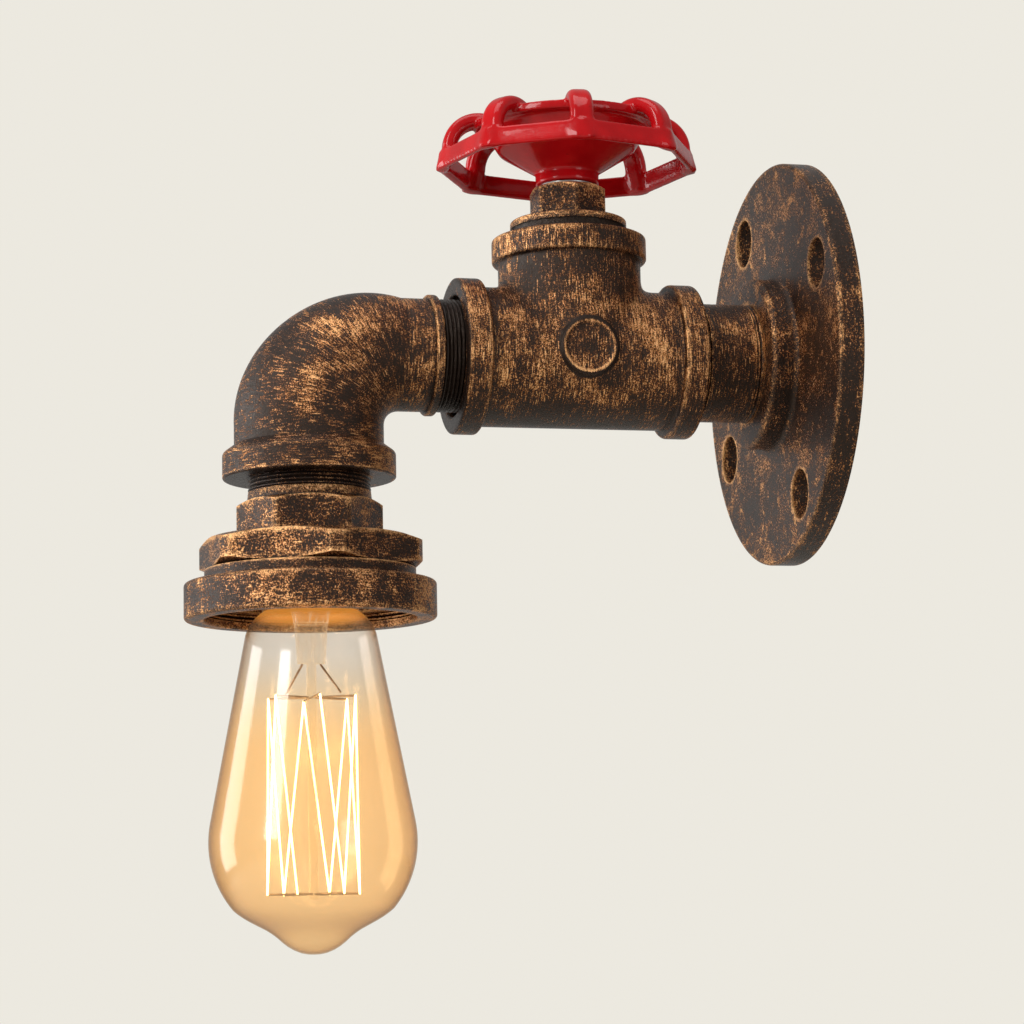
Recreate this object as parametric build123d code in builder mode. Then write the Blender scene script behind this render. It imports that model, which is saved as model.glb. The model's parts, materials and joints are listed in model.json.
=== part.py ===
"""Industrial pipe wall light: malleable fittings on a floor flange, with a valve wheel and a lamp.

The origin is the centre of the flange's back face, on the wall. The arm runs out along -Y and
+Z is up. A "reach" is a distance from the wall, and a "level" is a height above the arm's axis.
"""

import os
from math import cos, pi, radians, sin, sqrt

from build123d import *

os.makedirs("parts", exist_ok=True)

# ------------------------------------------------------------ driving dimensions, millimetres

# Wall flange
flange_od = 115.0
flange_thickness = 7.0
flange_rim_radius = 0.9
hub_od = 48.6
hub_reach = 14.6
hub_edge_radius = 1.6
hub_root_radius = 1.5
bolt_edge_distance = 12.0
bolt_hole = 14.0
bolt_count = 4
bolt_angle = 27.3

# Threads shared by the pipe fittings
pipe_od = 33.7
pipe_wall = 3.1
engagement = 12.0
thread_pitch = 1.15
thread_depth = 0.55
thread_flank_share = 0.35
thread_gap = 0.1
run_out = 2.0

# Arm nipple
nipple_showing = 17.3

# Tee
tee_arm = 34.4
tee_body_od = 39.2
neck_swell = 1.2
tee_wall = 4.6
band_height = 2.3
band_width = 6.9
band_edge_radius = 0.7
band_root_radius = 0.6
boss_radius = 8.2
boss_ring_width = 1.3
boss_height = 1.1
boss_dish = 0.6

# Street elbow
elbow_thread_showing = 5.3
bead_width = 2.6
bead_od = 33.9
elbow_male_od = 31.6
elbow_female_od = 41.2
elbow_male_wall = 3.4
elbow_female_wall = 4.9
elbow_throat = 5.0
elbow_male_length = 7.3
elbow_drop = 35.6
collar_height = 9.4
collar_od = 47.7
collar_edge_radius = 1.5
collar_mouth_radius = 0.6
collar_shoulder = 2.4
elbow_sections = 4

# Hex nipple
nipple_neck_height = 6.3
nipple_shoulder_height = 2.6
small_hex_across_flats = 35.2
small_hex_height = 10.4
small_hex_angle = 22.0
small_hex_chamfer = 1.1
small_hex_corner_trim = 0.3
lower_thread_od = 34.4
lower_thread_length = 8.0

# Reducing bushing
big_hex_across_flats = 56.0
big_hex_height = 8.4
big_hex_angle = 3.3
big_hex_chamfer = 1.3
big_hex_corner_trim = 1.0
bushing_neck_height = 3.5
bushing_thread_od = 57.8
bushing_thread_length = 6.0
bushing_wall = 4.0

# Shade ring
ring_wall = 5.6
ring_height = 10.2
ring_edge_radius = 1.0
ring_lip_radius = 0.5
ring_thread_depth = 0.8

# Bonnet and its spindle
bonnet_neck_od = 31.8
bonnet_neck_height = 3.1
bonnet_disc_od = 33.0
bonnet_disc_height = 1.9
bonnet_cone_height = 1.0
bonnet_hex_across_flats = 19.4
bonnet_hex_height = 8.8
bonnet_hex_angle = -1.0
bonnet_hex_chamfer = 0.8
bonnet_hex_corner_trim = 0.2
bonnet_engagement = 10.0
stem_od = 8.0
stem_clearance = 0.05
square_across_flats = 6.0
square_clearance = 0.05
stem_thread_od = 5.0
clip_od = 14.0
clip_thickness = 1.0
clip_gap = 0.2
groove_depth = 0.8
stem_tail = 2.2
washer_gap = 0.1
stem_washer_od = 16.0
hub_gap = 0.9

# Handwheel
wheel_sides = 8
wheel_angle = -7.4
wheel_corner_radius = 37.8
wheel_rim_above_hub = 4.1
rim_height = 5.9
rim_thickness = 2.4
rim_flare = 11.0
wheel_hub_od = 18.0
wheel_hub_height = 9.9
arch_centre_radius = 25.2
arch_outer_radius = 10.4
arch_thickness = 4.2
arch_above_hub = 10.5
arm_width = 6.6
arm_edge_radius = 1.9
bowl_root_height = 3.6
bowl_foot_radius = 19.4
bowl_foot_height = 10.0
lip_inner_radius = 20.3
lip_outer_radius = 26.0
lip_height = 2.4
lip_above_hub = 15.9
bowl_wall = 2.6
wheel_washer_od = 12.0
wheel_washer_thickness = 1.0
wheel_nut_across_flats = 8.0
wheel_nut_height = 4.0
stem_thread_spare = 1.4

# Bulb
bulb_radius = 28.2
bulb_drop_to_centre = 60.1
bulb_taper = 10.9
bulb_taper_length = 50.6
shoulder_radius = 11.1
shoulder_sweep = 47.6
glass_wall = 0.9
neck_gap = 0.3
neck_length = 6.0
tip_radius = 2.6
tip_length = 1.9
tip_waist_radius = 2.34
tip_waist_drop = 0.665
tip_root_radius = 7.8
tip_root_height = 1.43
seal_gap = 0.2
cap_rim_above_ring = 2.5
cap_length = 26.4
cap_crest_radius = 13.1
cap_root_radius = 12.35
cap_rim_radius = 13.25
cap_rim_height = 3.0
cap_wall = 0.35
cap_pitch = 3.629
cap_turns = 5
cap_neck_height = 2.4
button_radius = 4.6
button_height = 1.3
button_crown_radius = 3.68
button_crown_height = 0.91
button_tip_radius = 2.07
insulator_radius = 10.0
stem_flare_length = 9.0
press_width = 9.6
press_depth = 4.4
press_length = 11.0
press_narrowing = 1.9
flare_swell = 1.2
rod_radius = 1.3
cage_radius = 12.6
cage_top_drop = 23.6
cage_height = 53.0
cage_strands = 12
filament_radius = 0.28
support_radius = 0.3
rod_beyond_cage = 1.5

# Lampholder and what carries it
contact_room = 3.0
holder_radius = 14.9
holder_bore_radius = 13.95
holder_head_radius = 12.4
holder_head_height = 5.4
holder_floor = 7.2
holder_skirt_radius = 17.5
holder_skirt_height = 8.0
holder_above_rim = 3.0
holder_clearance = 0.4
liner_wall = 0.4
liner_gap = 0.05
tongue_width = 6.0
tongue_thickness = 0.5
tongue_gap = 0.3
terminal_spread = 8.6
terminal_shank_radius = 1.5
terminal_head_radius = 2.3
terminal_head_height = 1.4
tube_od = 10.0
tube_bore = 7.8
tube_seat = 4.0
tube_gap = 0.05
tube_spare = 0.8
tube_washer_od = 31.0
tube_washer_thickness = 1.6
lug_thickness = 0.8
lug_barrel_radius = 1.8
lug_barrel_height = 5.5
lug_offset = 10.6
tube_nut_across_flats = 14.0
tube_nut_height = 4.0

# Wires and terminal block
wire_radius = 1.1
wire_spacing = 3.2
wire_bend = 22.0
earth_drop = 3.6
pole_pitch = 7.0
block_height = 13.0
block_length = 16.0
block_reach = 3.0
block_hole_radius = 1.35
block_screw_radius = 1.6
block_screw_inset = 4.0
block_seat_gap = 0.05
pole_count = 3

# ------------------------------------------------------------ places that follow from them

bolt_circle = flange_od - 2 * bolt_edge_distance
band_od = tee_body_od + 2 * band_height
tee_neck_od = tee_body_od + neck_swell
ring_od = bushing_thread_od + 2 * ring_wall

tee_near_face = hub_reach + nipple_showing
tee_reach = tee_near_face + tee_arm
tee_far_face = tee_reach + tee_arm
bead_reach = tee_far_face + elbow_thread_showing
throat_reach = bead_reach + bead_width + elbow_male_length
lamp_reach = throat_reach + elbow_throat + elbow_female_od / 2
throat_level = -(elbow_throat + elbow_male_od / 2)

hex_top = -elbow_drop - nipple_neck_height
hex_bottom = hex_top - small_hex_height
bushing_top = hex_bottom
bushing_hex_bottom = bushing_top - big_hex_height
ring_top = bushing_hex_bottom - bushing_neck_height
ring_bottom = ring_top - ring_height
bushing_bottom = ring_top - bushing_thread_length
nipple_top = -elbow_drop + engagement

tube_washer_top = nipple_top + tube_washer_thickness
lug_top = tube_washer_top + lug_thickness
tube_nut_top = lug_top + tube_nut_height
tube_top = tube_nut_top + tube_spare

cap_rim = ring_bottom + cap_rim_above_ring
cap_tip = cap_rim + cap_length
holder_mouth = cap_rim + holder_above_rim
holder_ceiling = cap_tip + contact_room
holder_top = holder_ceiling + holder_floor
holder_shoulder = holder_top - holder_head_height
bulb_centre = ring_bottom - bulb_drop_to_centre

hub_level = tee_arm + bonnet_neck_height + bonnet_disc_height + bonnet_cone_height
bonnet_top = hub_level + bonnet_hex_height
bonnet_bottom = tee_arm - bonnet_engagement
wheel_base = bonnet_top + hub_gap

socket_radius = pipe_od / 2 + thread_gap
pipe_bore_radius = pipe_od / 2 - pipe_wall

arm_axis = Axis((0, 0, 0), (0, -1, 0))
tee_axis = Axis((0, -tee_reach, 0), (0, 0, 1))
lamp_axis = Axis((0, -lamp_reach, 0), (0, 0, 1))

# In each of these planes the first coordinate runs out from the wall and the second runs up.
arm_plane = Plane(origin=(0, 0, 0), x_dir=(0, -1, 0), z_dir=(-1, 0, 0))
tee_plane = Plane(origin=(0, -tee_reach, 0), x_dir=(0, -1, 0), z_dir=(-1, 0, 0))
lamp_plane = Plane(origin=(0, -lamp_reach, 0), x_dir=(0, -1, 0), z_dir=(-1, 0, 0))


def thread_outline(start, stop, crest, depth=thread_depth):
    """Points of a thread's profile, as (place along the axis, radius), with truncated crests."""
    turns = max(1, round(abs(stop - start) / thread_pitch))
    step = (stop - start) / turns
    points = []
    for turn in range(turns):
        root = start + turn * step
        points += [
            (root, crest - depth),
            (root + thread_flank_share * step, crest),
            (root + (1 - thread_flank_share) * step, crest),
        ]
    return points + [(stop, crest - depth)]


def level_plane(reach, level):
    """A level plane whose origin stands at a reach from the wall."""
    return Plane(origin=(0, -reach, level))


def at_places(places):
    """A chooser of profile corners at given (place, radius) points."""
    return lambda corner: any(
        abs(corner.X - x) < 1e-4 and abs(corner.Y - y) < 1e-4 for x, y in places
    )


def export(piece, name):
    """Label a finished piece and write its file."""
    piece.part.label = name
    export_step(piece.part, f"parts/{name}.step")


# ------------------------------------------------------------ wall flange

hub_socket_end = hub_reach - engagement
flange_front_corner = (flange_thickness, flange_od / 2)
hub_front_corner = (hub_reach, hub_od / 2)
hub_root_corner = (flange_thickness, hub_od / 2)

with BuildPart() as wall_flange:
    with BuildSketch(arm_plane):
        with BuildLine():
            Polyline(
                (0, pipe_bore_radius),
                (0, flange_od / 2),
                flange_front_corner,
                hub_root_corner,
                hub_front_corner,
                (hub_reach, socket_radius),
                (hub_socket_end, socket_radius),
                (hub_socket_end, pipe_bore_radius),
                close=True,
            )
        make_face()
        fillet(vertices().filter_by(at_places([flange_front_corner])), flange_rim_radius)
        fillet(vertices().filter_by(at_places([hub_front_corner])), hub_edge_radius)
        fillet(vertices().filter_by(at_places([hub_root_corner])), hub_root_radius)
    revolve(axis=arm_axis)
    with BuildSketch(Plane.XZ):
        with PolarLocations(bolt_circle / 2, bolt_count, start_angle=bolt_angle):
            Circle(bolt_hole / 2)
    extrude(amount=flange_thickness, mode=Mode.SUBTRACT)
export(wall_flange, "wall_flange")

# ------------------------------------------------------------ arm nipple

with BuildPart() as arm_nipple:
    with BuildSketch(arm_plane):
        with BuildLine():
            Polyline(
                (hub_socket_end, pipe_bore_radius),
                *thread_outline(hub_socket_end, hub_reach + run_out, pipe_od / 2),
                (hub_reach + run_out, pipe_od / 2),
                (tee_near_face - run_out, pipe_od / 2),
                *thread_outline(tee_near_face - run_out, tee_near_face + engagement, pipe_od / 2),
                (tee_near_face + engagement, pipe_bore_radius),
                close=True,
            )
        make_face()
    revolve(axis=arm_axis)
export(arm_nipple, "arm_nipple")

# ------------------------------------------------------------ tee


def banded_outline(near, far, body_radius, mouth_at_far):
    """Corners of a fitting's outside between two places, with a band at one or both mouths."""
    band = band_od / 2
    if mouth_at_far:
        return [(near, body_radius), (far - band_width, body_radius), (far - band_width, band), (far, band)]
    return [(near, band), (near + band_width, band), (near + band_width, body_radius)]


run_near_band = banded_outline(tee_near_face, tee_far_face, tee_body_od / 2, False)
run_far_band = banded_outline(tee_near_face, tee_far_face, tee_body_od / 2, True)[1:]
neck_band = banded_outline(0, tee_arm, tee_neck_od / 2, True)
tee_chamber_radius = tee_body_od / 2 - tee_wall
socket_depth = engagement + run_out

with BuildPart() as tee_fitting:
    with BuildSketch(arm_plane):
        with BuildLine():
            Polyline(
                (tee_near_face, 0),
                *run_near_band,
                *run_far_band,
                (tee_far_face, 0),
                close=True,
            )
        make_face()
        run_edges = [run_near_band[0], run_near_band[1], run_far_band[1], run_far_band[2]]
        fillet(vertices().filter_by(at_places(run_edges)), band_edge_radius)
        run_roots = [run_near_band[2], run_far_band[0]]
        fillet(vertices().filter_by(at_places(run_roots)), band_root_radius)
    revolve(axis=arm_axis)
    with BuildSketch(tee_plane):
        with BuildLine():
            Polyline(
                (0, 0),
                *[(radius, level) for level, radius in neck_band],
                (0, tee_arm),
                close=True,
            )
        make_face()
        neck_edges = [(radius, level) for level, radius in neck_band[2:]]
        fillet(vertices().filter_by(at_places(neck_edges)), band_edge_radius)
        neck_root = [(neck_band[1][1], neck_band[1][0])]
        fillet(vertices().filter_by(at_places(neck_root)), band_root_radius)
    revolve(axis=tee_axis)
    boss_face = tee_body_od / 2 + boss_height
    with BuildSketch(Plane.YZ.offset(boss_face)):
        with Locations((-tee_reach, 0)):
            Circle(boss_radius)
    extrude(amount=-boss_face / 2)
    with BuildSketch(Plane.YZ.offset(boss_face)):
        with Locations((-tee_reach, 0)):
            Circle(boss_radius - boss_ring_width)
    extrude(amount=-boss_dish, mode=Mode.SUBTRACT)
    with BuildSketch(arm_plane):
        with BuildLine():
            Polyline(
                (tee_near_face, 0),
                (tee_near_face, socket_radius),
                (tee_near_face + socket_depth, socket_radius),
                (tee_near_face + socket_depth, tee_chamber_radius),
                (tee_far_face - socket_depth, tee_chamber_radius),
                (tee_far_face - socket_depth, socket_radius),
                (tee_far_face, socket_radius),
                (tee_far_face, 0),
                close=True,
            )
        make_face()
    revolve(axis=arm_axis, mode=Mode.SUBTRACT)
    with BuildSketch(tee_plane):
        with BuildLine():
            Polyline(
                (0, 0),
                (tee_chamber_radius, 0),
                (tee_chamber_radius, tee_arm - socket_depth),
                (socket_radius, tee_arm - socket_depth),
                (socket_radius, tee_arm),
                (0, tee_arm),
                close=True,
            )
        make_face()
    revolve(axis=tee_axis, mode=Mode.SUBTRACT)
export(tee_fitting, "tee_fitting")

# ------------------------------------------------------------ street elbow

# The outside of the bend is one round arc seen from the side, and the throat is a small one.
# Each cross-section is a circle whose ends lie on the two arcs, so the body swells as it turns.
elbow_start = tee_far_face - engagement
collar_top = -elbow_drop + collar_height
elbow_bore_radius = elbow_male_od / 2 - elbow_male_wall
throat_axis = Axis((0, -throat_reach, throat_level), (1, 0, 0))
bend_start_width = elbow_throat + elbow_male_od
bend_end_width = elbow_throat + elbow_female_od
back_arc_radius = (bend_end_width + bend_start_width**2 / bend_end_width) / 2
back_arc_shift = bend_end_width - back_arc_radius


def bend_section(turn):
    """The plane and the outer radius of the bend's cross-section at a turn in degrees."""
    lean = radians(turn)
    width = back_arc_shift * sin(lean) + sqrt(back_arc_radius**2 - (back_arc_shift * cos(lean)) ** 2)
    radius = (width - elbow_throat) / 2
    centre_distance = elbow_throat + radius
    origin = (
        0,
        -(throat_reach + centre_distance * sin(lean)),
        throat_level + centre_distance * cos(lean),
    )
    return Plane(origin=origin, x_dir=(1, 0, 0), z_dir=(0, -cos(lean), -sin(lean))), radius


bend_turns = [90 * index / (elbow_sections - 1) for index in range(elbow_sections)]
bead_corners = [(bead_reach, bead_od / 2), (bead_reach + bead_width, bead_od / 2)]
collar_corner = (collar_od / 2, -elbow_drop)
collar_upper_corner = (collar_od / 2, collar_top - collar_shoulder)

with BuildPart() as street_elbow:
    with BuildSketch(arm_plane):
        with BuildLine():
            Polyline(
                (elbow_start, 0),
                *thread_outline(elbow_start, bead_reach, elbow_male_od / 2),
                *bead_corners,
                (bead_reach + bead_width, elbow_male_od / 2),
                (throat_reach, elbow_male_od / 2),
                (throat_reach, 0),
                close=True,
            )
        make_face()
        fillet(vertices().filter_by(at_places(bead_corners)), bead_width / 4)
    revolve(axis=arm_axis)
    for turn in bend_turns:
        section_plane, section_radius = bend_section(turn)
        with BuildSketch(section_plane):
            Circle(section_radius)
    loft()
    with BuildSketch(lamp_plane):
        with BuildLine():
            Polyline(
                (0, throat_level),
                (elbow_female_od / 2, throat_level),
                (elbow_female_od / 2, collar_top),
                collar_upper_corner,
                collar_corner,
                (0, -elbow_drop),
                close=True,
            )
        make_face()
        fillet(vertices().filter_by(at_places([collar_upper_corner])), collar_edge_radius)
        fillet(vertices().filter_by(at_places([collar_corner])), collar_mouth_radius)
    revolve(axis=lamp_axis)
    with BuildSketch(Plane.XZ.offset(throat_reach)):
        Circle(elbow_bore_radius)
    revolve(axis=throat_axis, revolution_arc=90, mode=Mode.SUBTRACT)
    with BuildSketch(Plane.XZ.offset(elbow_start)):
        Circle(elbow_bore_radius)
    extrude(amount=throat_reach - elbow_start, mode=Mode.SUBTRACT)
    with BuildSketch(level_plane(lamp_reach, -elbow_drop)):
        Circle(socket_radius)
    extrude(amount=socket_depth, mode=Mode.SUBTRACT)
    with BuildSketch(level_plane(lamp_reach, -elbow_drop)):
        Circle(elbow_female_od / 2 - elbow_female_wall)
    extrude(amount=elbow_drop + throat_level, mode=Mode.SUBTRACT)
    with BuildSketch(level_plane(lamp_reach, throat_level)):
        Circle(tube_nut_across_flats / sqrt(3) + holder_clearance)
    extrude(amount=tube_top + tube_spare - throat_level, mode=Mode.SUBTRACT)
export(street_elbow, "street_elbow")

# ------------------------------------------------------------ hex nipple

nipple_thread_end = hex_top + nipple_shoulder_height
lower_thread_end = hex_bottom - lower_thread_length
cavity_radius = holder_radius + holder_clearance
head_cavity_radius = holder_head_radius + holder_clearance


def turned_hexagon(across_flats, top, bottom, chamfer_top, chamfer_bottom, corner_trim):
    """Profile that turns the corners off a hexagon, as (radius, level) points."""
    corner = across_flats / sqrt(3) - corner_trim
    flat = across_flats / 2
    upper = [(flat, top), (corner, top - chamfer_top)] if chamfer_top else [(corner, top)]
    lower = [(corner, bottom + chamfer_bottom), (flat, bottom)] if chamfer_bottom else [(corner, bottom)]
    return [(0, top), *upper, *lower, (0, bottom)]


with BuildPart() as hex_nipple:
    with BuildSketch(level_plane(lamp_reach, hex_bottom)):
        RegularPolygon(small_hex_across_flats / 2, 6, major_radius=False, rotation=small_hex_angle)
    extrude(amount=small_hex_height)
    with BuildSketch(lamp_plane):
        with BuildLine():
            Polyline(
                *turned_hexagon(
                    small_hex_across_flats,
                    hex_top,
                    hex_bottom,
                    small_hex_chamfer,
                    small_hex_chamfer,
                    small_hex_corner_trim,
                ),
                close=True,
            )
        make_face()
    revolve(axis=lamp_axis, mode=Mode.INTERSECT)
    with BuildSketch(lamp_plane):
        upper = thread_outline(nipple_top, nipple_thread_end, pipe_od / 2)
        lower = thread_outline(hex_bottom, lower_thread_end, lower_thread_od / 2)
        with BuildLine():
            Polyline(
                (0, nipple_top),
                *[(radius, level) for level, radius in upper],
                (pipe_od / 2, nipple_thread_end),
                (pipe_od / 2 + thread_depth / 2, hex_top),
                (pipe_od / 2, hex_bottom),
                *[(radius, level) for level, radius in lower],
                (0, lower_thread_end),
                close=True,
            )
        make_face()
    revolve(axis=lamp_axis)
    with BuildSketch(lamp_plane):
        head_ceiling = holder_top + holder_clearance
        with BuildLine():
            Polyline(
                (0, nipple_top),
                (tube_od / 2 + holder_clearance, nipple_top),
                (tube_od / 2 + holder_clearance, head_ceiling),
                (head_cavity_radius, head_ceiling),
                (head_cavity_radius, holder_shoulder + holder_clearance),
                (cavity_radius, holder_shoulder + holder_clearance),
                (cavity_radius, lower_thread_end),
                (0, lower_thread_end),
                close=True,
            )
        make_face()
    revolve(axis=lamp_axis, mode=Mode.SUBTRACT)
export(hex_nipple, "hex_nipple")

# ------------------------------------------------------------ reducing bushing

bushing_bore_radius = lower_thread_od / 2 + thread_gap
bushing_cavity_radius = bushing_thread_od / 2 - bushing_wall

with BuildPart() as reducing_bushing:
    with BuildSketch(level_plane(lamp_reach, bushing_hex_bottom)):
        RegularPolygon(big_hex_across_flats / 2, 6, major_radius=False, rotation=big_hex_angle)
    extrude(amount=big_hex_height)
    with BuildSketch(lamp_plane):
        with BuildLine():
            Polyline(
                *turned_hexagon(
                    big_hex_across_flats,
                    bushing_top,
                    bushing_hex_bottom,
                    big_hex_chamfer,
                    big_hex_chamfer,
                    big_hex_corner_trim,
                ),
                close=True,
            )
        make_face()
    revolve(axis=lamp_axis, mode=Mode.INTERSECT)
    with BuildSketch(lamp_plane):
        male = thread_outline(ring_top, bushing_bottom, bushing_thread_od / 2)
        with BuildLine():
            Polyline(
                (0, bushing_hex_bottom),
                (bushing_thread_od / 2, bushing_hex_bottom),
                (bushing_thread_od / 2, ring_top),
                *[(radius, level) for level, radius in male],
                (0, bushing_bottom),
                close=True,
            )
        make_face()
    revolve(axis=lamp_axis)
    with BuildSketch(lamp_plane):
        with BuildLine():
            Polyline(
                (0, bushing_top),
                (bushing_bore_radius, bushing_top),
                (bushing_bore_radius, bushing_hex_bottom),
                (bushing_cavity_radius, bushing_hex_bottom),
                (bushing_cavity_radius, bushing_bottom),
                (0, bushing_bottom),
                close=True,
            )
        make_face()
    revolve(axis=lamp_axis, mode=Mode.SUBTRACT)
export(reducing_bushing, "reducing_bushing")

# ------------------------------------------------------------ shade ring

ring_bore_radius = bushing_thread_od / 2 + thread_gap
ring_outer_corners = [(ring_od / 2, ring_top), (ring_od / 2, ring_bottom)]
ring_lip_corner = (ring_bore_radius, ring_bottom)
ring_thread = thread_outline(
    ring_bottom + run_out, ring_top - run_out / 2, ring_bore_radius, -ring_thread_depth
)

with BuildPart() as shade_ring:
    with BuildSketch(lamp_plane):
        with BuildLine():
            Polyline(
                ring_lip_corner,
                (ring_bore_radius, ring_bottom + run_out),
                *[(radius, level) for level, radius in ring_thread],
                (ring_bore_radius, ring_top - run_out / 2),
                (ring_bore_radius, ring_top),
                *ring_outer_corners,
                close=True,
            )
        make_face()
        fillet(vertices().filter_by(at_places(ring_outer_corners)), ring_edge_radius)
        fillet(vertices().filter_by(at_places([ring_lip_corner])), ring_lip_radius)
    revolve(axis=lamp_axis)
export(shade_ring, "shade_ring")

# ------------------------------------------------------------ bonnet

disc_bottom = tee_arm + bonnet_neck_height
disc_top = disc_bottom + bonnet_disc_height
stem_bore_radius = stem_od / 2 + stem_clearance

with BuildPart() as tee_bonnet:
    with BuildSketch(level_plane(tee_reach, hub_level)):
        RegularPolygon(bonnet_hex_across_flats / 2, 6, major_radius=False, rotation=bonnet_hex_angle)
    extrude(amount=bonnet_hex_height)
    with BuildSketch(tee_plane):
        with BuildLine():
            Polyline(
                *turned_hexagon(
                    bonnet_hex_across_flats,
                    bonnet_top,
                    hub_level,
                    bonnet_hex_chamfer,
                    0,
                    bonnet_hex_corner_trim,
                ),
                close=True,
            )
        make_face()
    revolve(axis=tee_axis, mode=Mode.INTERSECT)
    with BuildSketch(tee_plane):
        neck_thread = thread_outline(bonnet_bottom, tee_arm, pipe_od / 2)
        disc_corners = [(bonnet_disc_od / 2, disc_bottom), (bonnet_disc_od / 2, disc_top)]
        with BuildLine():
            Polyline(
                (0, bonnet_bottom),
                *[(radius, level) for level, radius in neck_thread],
                (bonnet_neck_od / 2, tee_arm),
                (bonnet_neck_od / 2, disc_bottom),
                *disc_corners,
                (bonnet_hex_across_flats / 2, hub_level),
                (0, hub_level),
                close=True,
            )
        make_face()
        fillet(vertices().filter_by(at_places([disc_corners[1]])), bonnet_disc_height / 4)
    revolve(axis=tee_axis)
    with BuildSketch(level_plane(tee_reach, bonnet_bottom)):
        Circle(stem_bore_radius)
    extrude(amount=bonnet_top - bonnet_bottom, mode=Mode.SUBTRACT)
export(tee_bonnet, "tee_bonnet")

# ------------------------------------------------------------ handwheel

rim_level = wheel_base + wheel_rim_above_hub
arch_level = wheel_base + arch_above_hub
lip_level = wheel_base + lip_above_hub
hub_top = wheel_base + wheel_hub_height
arch_inner_radius = arch_outer_radius - arch_thickness
arch_foot_outer = arch_centre_radius + arch_outer_radius
arm_lean = wheel_corner_radius - arch_foot_outer
half_side = pi / wheel_sides

with BuildPart() as wheel_arm:
    with BuildSketch(tee_plane):
        with BuildLine():
            outer_leg = Line((wheel_corner_radius, rim_level), (arch_foot_outer, arch_level))
            CenterArc((arch_centre_radius, arch_level), arch_outer_radius, 0, 180)
            Line(
                (arch_centre_radius - arch_outer_radius, arch_level),
                (arch_centre_radius - arch_inner_radius, arch_level),
            )
            CenterArc((arch_centre_radius, arch_level), arch_inner_radius, 0, 180)
            Polyline(
                (arch_centre_radius + arch_inner_radius, arch_level),
                (arch_centre_radius + arch_inner_radius + arm_lean, rim_level),
                (wheel_corner_radius, rim_level),
            )
        make_face()
    extrude(amount=arm_width / 2, both=True)
    fillet(wheel_arm.faces().filter_by(Axis.X).edges(), arm_edge_radius)

# The rim is a cast octagonal band that flares towards its lower edge.
with BuildPart() as wheel_rim:
    with BuildSketch(level_plane(tee_reach, rim_level)):
        RegularPolygon(wheel_corner_radius, wheel_sides, rotation=wheel_angle)
    extrude(amount=rim_height, taper=rim_flare)
    with BuildSketch(level_plane(tee_reach, rim_level)):
        RegularPolygon(
            wheel_corner_radius - rim_thickness / cos(half_side),
            wheel_sides,
            rotation=wheel_angle,
        )
    extrude(amount=rim_height, taper=rim_flare, mode=Mode.SUBTRACT)

with BuildPart() as handwheel:
    with BuildSketch(tee_plane):
        with BuildLine():
            Polyline(
                (0, wheel_base),
                (wheel_hub_od / 2, wheel_base),
                (wheel_hub_od / 2, wheel_base + bowl_root_height),
                (bowl_foot_radius, wheel_base + bowl_foot_height),
                (lip_inner_radius + bowl_wall, lip_level),
                (lip_outer_radius, lip_level),
                (lip_outer_radius, lip_level + lip_height),
                (lip_inner_radius, lip_level + lip_height),
                (bowl_foot_radius - bowl_wall, wheel_base + bowl_foot_height + bowl_wall),
                (wheel_hub_od / 2, hub_top),
                (0, hub_top),
                close=True,
            )
        make_face()
    revolve(axis=tee_axis)
    add(wheel_rim.part)
    for side in range(wheel_sides):
        add(wheel_arm.part.rotate(tee_axis, 90 + wheel_angle + side * 360 / wheel_sides))
    with BuildSketch(level_plane(tee_reach, wheel_base)):
        Rectangle(
            square_across_flats + 2 * square_clearance, square_across_flats + 2 * square_clearance
        )
    extrude(amount=wheel_hub_height, mode=Mode.SUBTRACT)
export(handwheel, "handwheel")

# ------------------------------------------------------------ spindle and what holds the wheel

groove_top = bonnet_bottom - clip_gap
groove_bottom = groove_top - clip_thickness
stem_bottom = groove_bottom - stem_tail
square_top = hub_top - stem_thread_spare
washer_top = hub_top + wheel_washer_thickness
nut_top = washer_top + wheel_nut_height

with BuildPart() as valve_stem:
    with BuildSketch(tee_plane):
        with BuildLine():
            Polyline(
                (0, stem_bottom),
                (stem_od / 2, stem_bottom),
                (stem_od / 2, groove_bottom),
                (stem_od / 2 - groove_depth, groove_bottom),
                (stem_od / 2 - groove_depth, groove_top),
                (stem_od / 2, groove_top),
                (stem_od / 2, wheel_base),
                (stem_thread_od / 2, wheel_base),
                (stem_thread_od / 2, nut_top + stem_thread_spare),
                (0, nut_top + stem_thread_spare),
                close=True,
            )
        make_face()
    revolve(axis=tee_axis)
    with BuildSketch(level_plane(tee_reach, wheel_base)):
        Rectangle(square_across_flats, square_across_flats)
    extrude(amount=square_top - wheel_base)
export(valve_stem, "valve_stem")

with BuildPart() as stem_clip:
    with BuildSketch(level_plane(tee_reach, groove_bottom)):
        Circle(clip_od / 2)
        Circle(stem_od / 2 - groove_depth + stem_clearance, mode=Mode.SUBTRACT)
        with Locations((0, -clip_od / 2)):
            Rectangle(stem_od - 2 * groove_depth - 1, clip_od, mode=Mode.SUBTRACT)
    extrude(amount=clip_thickness)
export(stem_clip, "stem_clip")

with BuildPart() as stem_washer:
    with BuildSketch(level_plane(tee_reach, bonnet_top + washer_gap)):
        Circle(stem_washer_od / 2)
        Circle(stem_bore_radius, mode=Mode.SUBTRACT)
    extrude(amount=hub_gap - 2 * washer_gap)
export(stem_washer, "stem_washer")

with BuildPart() as wheel_washer:
    with BuildSketch(level_plane(tee_reach, hub_top)):
        Circle(wheel_washer_od / 2)
        Circle(stem_thread_od / 2 + stem_clearance, mode=Mode.SUBTRACT)
    extrude(amount=wheel_washer_thickness)
export(wheel_washer, "wheel_washer")

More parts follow.
